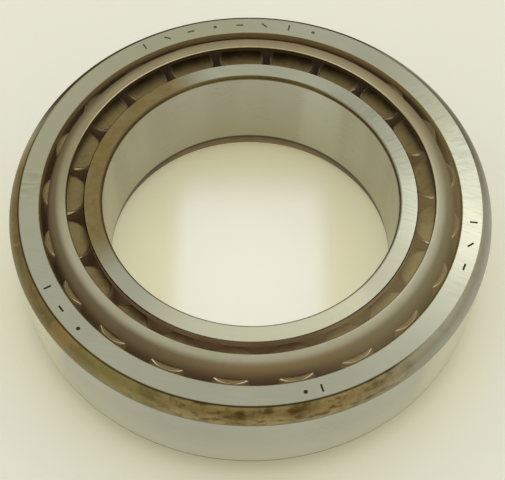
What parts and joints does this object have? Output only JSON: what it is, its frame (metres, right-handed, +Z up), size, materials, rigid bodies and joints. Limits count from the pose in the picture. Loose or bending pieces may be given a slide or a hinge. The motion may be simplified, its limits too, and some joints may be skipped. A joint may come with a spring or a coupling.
{
  "type": "tapered roller bearing",
  "caption": "Tapered roller bearing with a bored inner ring, a plain outer ring, a pressed steel cage and tapered rollers; it carries radial load and one-way axial load.",
  "frame": {"origin": "on the bearing axis at the inner ring's back face, which the bearing stands on", "axes": "+Z up along the bearing axis, from the inner ring's back face towards the small ends of the rollers and the outer ring's wide back face; X and Y across the bearing"},
  "size_m": [0.147, 0.147, 0.0426],
  "materials": {
    "ring_steel": "ground hardened bearing steel, lightly oiled",
    "cage_steel": "smooth pressed sheet steel, darkened by oil",
    "roller_steel": "ground hardened bearing steel, oiled"
  },
  "bodies": {
    "inner_ring": {"inner_ring": "ring_steel"},
    "outer_ring": {"outer_ring": "ring_steel"},
    "cage": {"cage": "cage_steel"},
    "roller_01": {"roller_01": "roller_steel"},
    "roller_02": {"roller_02": "roller_steel"},
    "roller_03": {"roller_03": "roller_steel"},
    "roller_04": {"roller_04": "roller_steel"},
    "roller_05": {"roller_05": "roller_steel"},
    "roller_06": {"roller_06": "roller_steel"},
    "roller_07": {"roller_07": "roller_steel"},
    "roller_08": {"roller_08": "roller_steel"},
    "roller_09": {"roller_09": "roller_steel"},
    "roller_10": {"roller_10": "roller_steel"},
    "roller_11": {"roller_11": "roller_steel"},
    "roller_12": {"roller_12": "roller_steel"},
    "roller_13": {"roller_13": "roller_steel"},
    "roller_14": {"roller_14": "roller_steel"},
    "roller_15": {"roller_15": "roller_steel"},
    "roller_16": {"roller_16": "roller_steel"},
    "roller_17": {"roller_17": "roller_steel"},
    "roller_18": {"roller_18": "roller_steel"},
    "roller_19": {"roller_19": "roller_steel"},
    "roller_20": {"roller_20": "roller_steel"},
    "roller_21": {"roller_21": "roller_steel"}
  },
  "joints": [
    {"name": "outer_ring_spin", "type": "hinge", "parent": "inner_ring", "child": "outer_ring", "pos_m": [0, 0, 0.02375], "axis": [0, 0, 1], "continuous": true},
    {"name": "cage_orbit", "type": "hinge", "parent": "inner_ring", "child": "cage", "pos_m": [0, 0, 0.02375], "axis": [0, 0, 1], "continuous": true},
    {"name": "roller_01_spin", "type": "hinge", "parent": "cage", "child": "roller_01", "pos_m": [0.05817, 0.00857, 0.02455], "axis": [-0.1904, -0.028, 0.9813], "continuous": true},
    {"name": "roller_02_spin", "type": "hinge", "parent": "cage", "child": "roller_02", "pos_m": [0.05306, 0.02533, 0.02455], "axis": [-0.1737, -0.0829, 0.9813], "continuous": true},
    {"name": "roller_03_spin", "type": "hinge", "parent": "cage", "child": "roller_03", "pos_m": [0.04323, 0.03985, 0.02455], "axis": [-0.1415, -0.1304, 0.9813], "continuous": true},
    {"name": "roller_04_spin", "type": "hinge", "parent": "cage", "child": "roller_04", "pos_m": [0.02957, 0.05082, 0.02455], "axis": [-0.0968, -0.1663, 0.9813], "continuous": true},
    {"name": "roller_05_spin", "type": "hinge", "parent": "cage", "child": "roller_05", "pos_m": [0.01327, 0.05728, 0.02455], "axis": [-0.0434, -0.1875, 0.9813], "continuous": true},
    {"name": "roller_06_spin", "type": "hinge", "parent": "cage", "child": "roller_06", "pos_m": [-0.0042, 0.05865, 0.02455], "axis": [0.0137, -0.1919, 0.9813], "continuous": true},
    {"name": "roller_07_spin", "type": "hinge", "parent": "cage", "child": "roller_07", "pos_m": [-0.0213, 0.0548, 0.02455], "axis": [0.0697, -0.1794, 0.9813], "continuous": true},
    {"name": "roller_08_spin", "type": "hinge", "parent": "cage", "child": "roller_08", "pos_m": [-0.0365, 0.04609, 0.02455], "axis": [0.1195, -0.1509, 0.9813], "continuous": true},
    {"name": "roller_09_spin", "type": "hinge", "parent": "cage", "child": "roller_09", "pos_m": [-0.04847, 0.03328, 0.02455], "axis": [0.1586, -0.1089, 0.9813], "continuous": true},
    {"name": "roller_10_spin", "type": "hinge", "parent": "cage", "child": "roller_10", "pos_m": [-0.05613, 0.01752, 0.02455], "axis": [0.1837, -0.0573, 0.9813], "continuous": true},
    {"name": "roller_11_spin", "type": "hinge", "parent": "cage", "child": "roller_11", "pos_m": [-0.0588, 0.0002, 0.02455], "axis": [0.1924, -0.0006, 0.9813], "continuous": true},
    {"name": "roller_12_spin", "type": "hinge", "parent": "cage", "child": "roller_12", "pos_m": [-0.05624, -0.01714, 0.02455], "axis": [0.1841, 0.0561, 0.9813], "continuous": true},
    {"name": "roller_13_spin", "type": "hinge", "parent": "cage", "child": "roller_13", "pos_m": [-0.04869, -0.03296, 0.02455], "axis": [0.1594, 0.1079, 0.9813], "continuous": true},
    {"name": "roller_14_spin", "type": "hinge", "parent": "cage", "child": "roller_14", "pos_m": [-0.03681, -0.04585, 0.02455], "axis": [0.1205, 0.1501, 0.9813], "continuous": true},
    {"name": "roller_15_spin", "type": "hinge", "parent": "cage", "child": "roller_15", "pos_m": [-0.02166, -0.05466, 0.02455], "axis": [0.0709, 0.1789, 0.9813], "continuous": true},
    {"name": "roller_16_spin", "type": "hinge", "parent": "cage", "child": "roller_16", "pos_m": [-0.00459, -0.05862, 0.02455], "axis": [0.015, 0.1918, 0.9813], "continuous": true},
    {"name": "roller_17_spin", "type": "hinge", "parent": "cage", "child": "roller_17", "pos_m": [0.01289, -0.05737, 0.02455], "axis": [-0.0422, 0.1878, 0.9813], "continuous": true},
    {"name": "roller_18_spin", "type": "hinge", "parent": "cage", "child": "roller_18", "pos_m": [0.02923, -0.05102, 0.02455], "axis": [-0.0957, 0.167, 0.9813], "continuous": true},
    {"name": "roller_19_spin", "type": "hinge", "parent": "cage", "child": "roller_19", "pos_m": [0.04297, -0.04014, 0.02455], "axis": [-0.1406, 0.1314, 0.9813], "continuous": true},
    {"name": "roller_20_spin", "type": "hinge", "parent": "cage", "child": "roller_20", "pos_m": [0.05289, -0.02569, 0.02455], "axis": [-0.1731, 0.0841, 0.9813], "continuous": true},
    {"name": "roller_21_spin", "type": "hinge", "parent": "cage", "child": "roller_21", "pos_m": [0.05811, -0.00896, 0.02455], "axis": [-0.1902, 0.0293, 0.9813], "continuous": true}
  ],
  "couplings": [
    {"joint": "cage_orbit", "follows": "outer_ring_spin", "ratio": 0.56387},
    {"joint": "roller_01_spin", "follows": "outer_ring_spin", "ratio": 3.7783},
    {"joint": "roller_02_spin", "follows": "outer_ring_spin", "ratio": 3.7783},
    {"joint": "roller_03_spin", "follows": "outer_ring_spin", "ratio": 3.7783},
    {"joint": "roller_04_spin", "follows": "outer_ring_spin", "ratio": 3.7783},
    {"joint": "roller_05_spin", "follows": "outer_ring_spin", "ratio": 3.7783},
    {"joint": "roller_06_spin", "follows": "outer_ring_spin", "ratio": 3.7783},
    {"joint": "roller_07_spin", "follows": "outer_ring_spin", "ratio": 3.7783},
    {"joint": "roller_08_spin", "follows": "outer_ring_spin", "ratio": 3.7783},
    {"joint": "roller_09_spin", "follows": "outer_ring_spin", "ratio": 3.7783},
    {"joint": "roller_10_spin", "follows": "outer_ring_spin", "ratio": 3.7783},
    {"joint": "roller_11_spin", "follows": "outer_ring_spin", "ratio": 3.7783},
    {"joint": "roller_12_spin", "follows": "outer_ring_spin", "ratio": 3.7783},
    {"joint": "roller_13_spin", "follows": "outer_ring_spin", "ratio": 3.7783},
    {"joint": "roller_14_spin", "follows": "outer_ring_spin", "ratio": 3.7783},
    {"joint": "roller_15_spin", "follows": "outer_ring_spin", "ratio": 3.7783},
    {"joint": "roller_16_spin", "follows": "outer_ring_spin", "ratio": 3.7783},
    {"joint": "roller_17_spin", "follows": "outer_ring_spin", "ratio": 3.7783},
    {"joint": "roller_18_spin", "follows": "outer_ring_spin", "ratio": 3.7783},
    {"joint": "roller_19_spin", "follows": "outer_ring_spin", "ratio": 3.7783},
    {"joint": "roller_20_spin", "follows": "outer_ring_spin", "ratio": 3.7783},
    {"joint": "roller_21_spin", "follows": "outer_ring_spin", "ratio": 3.7783}
  ]
}
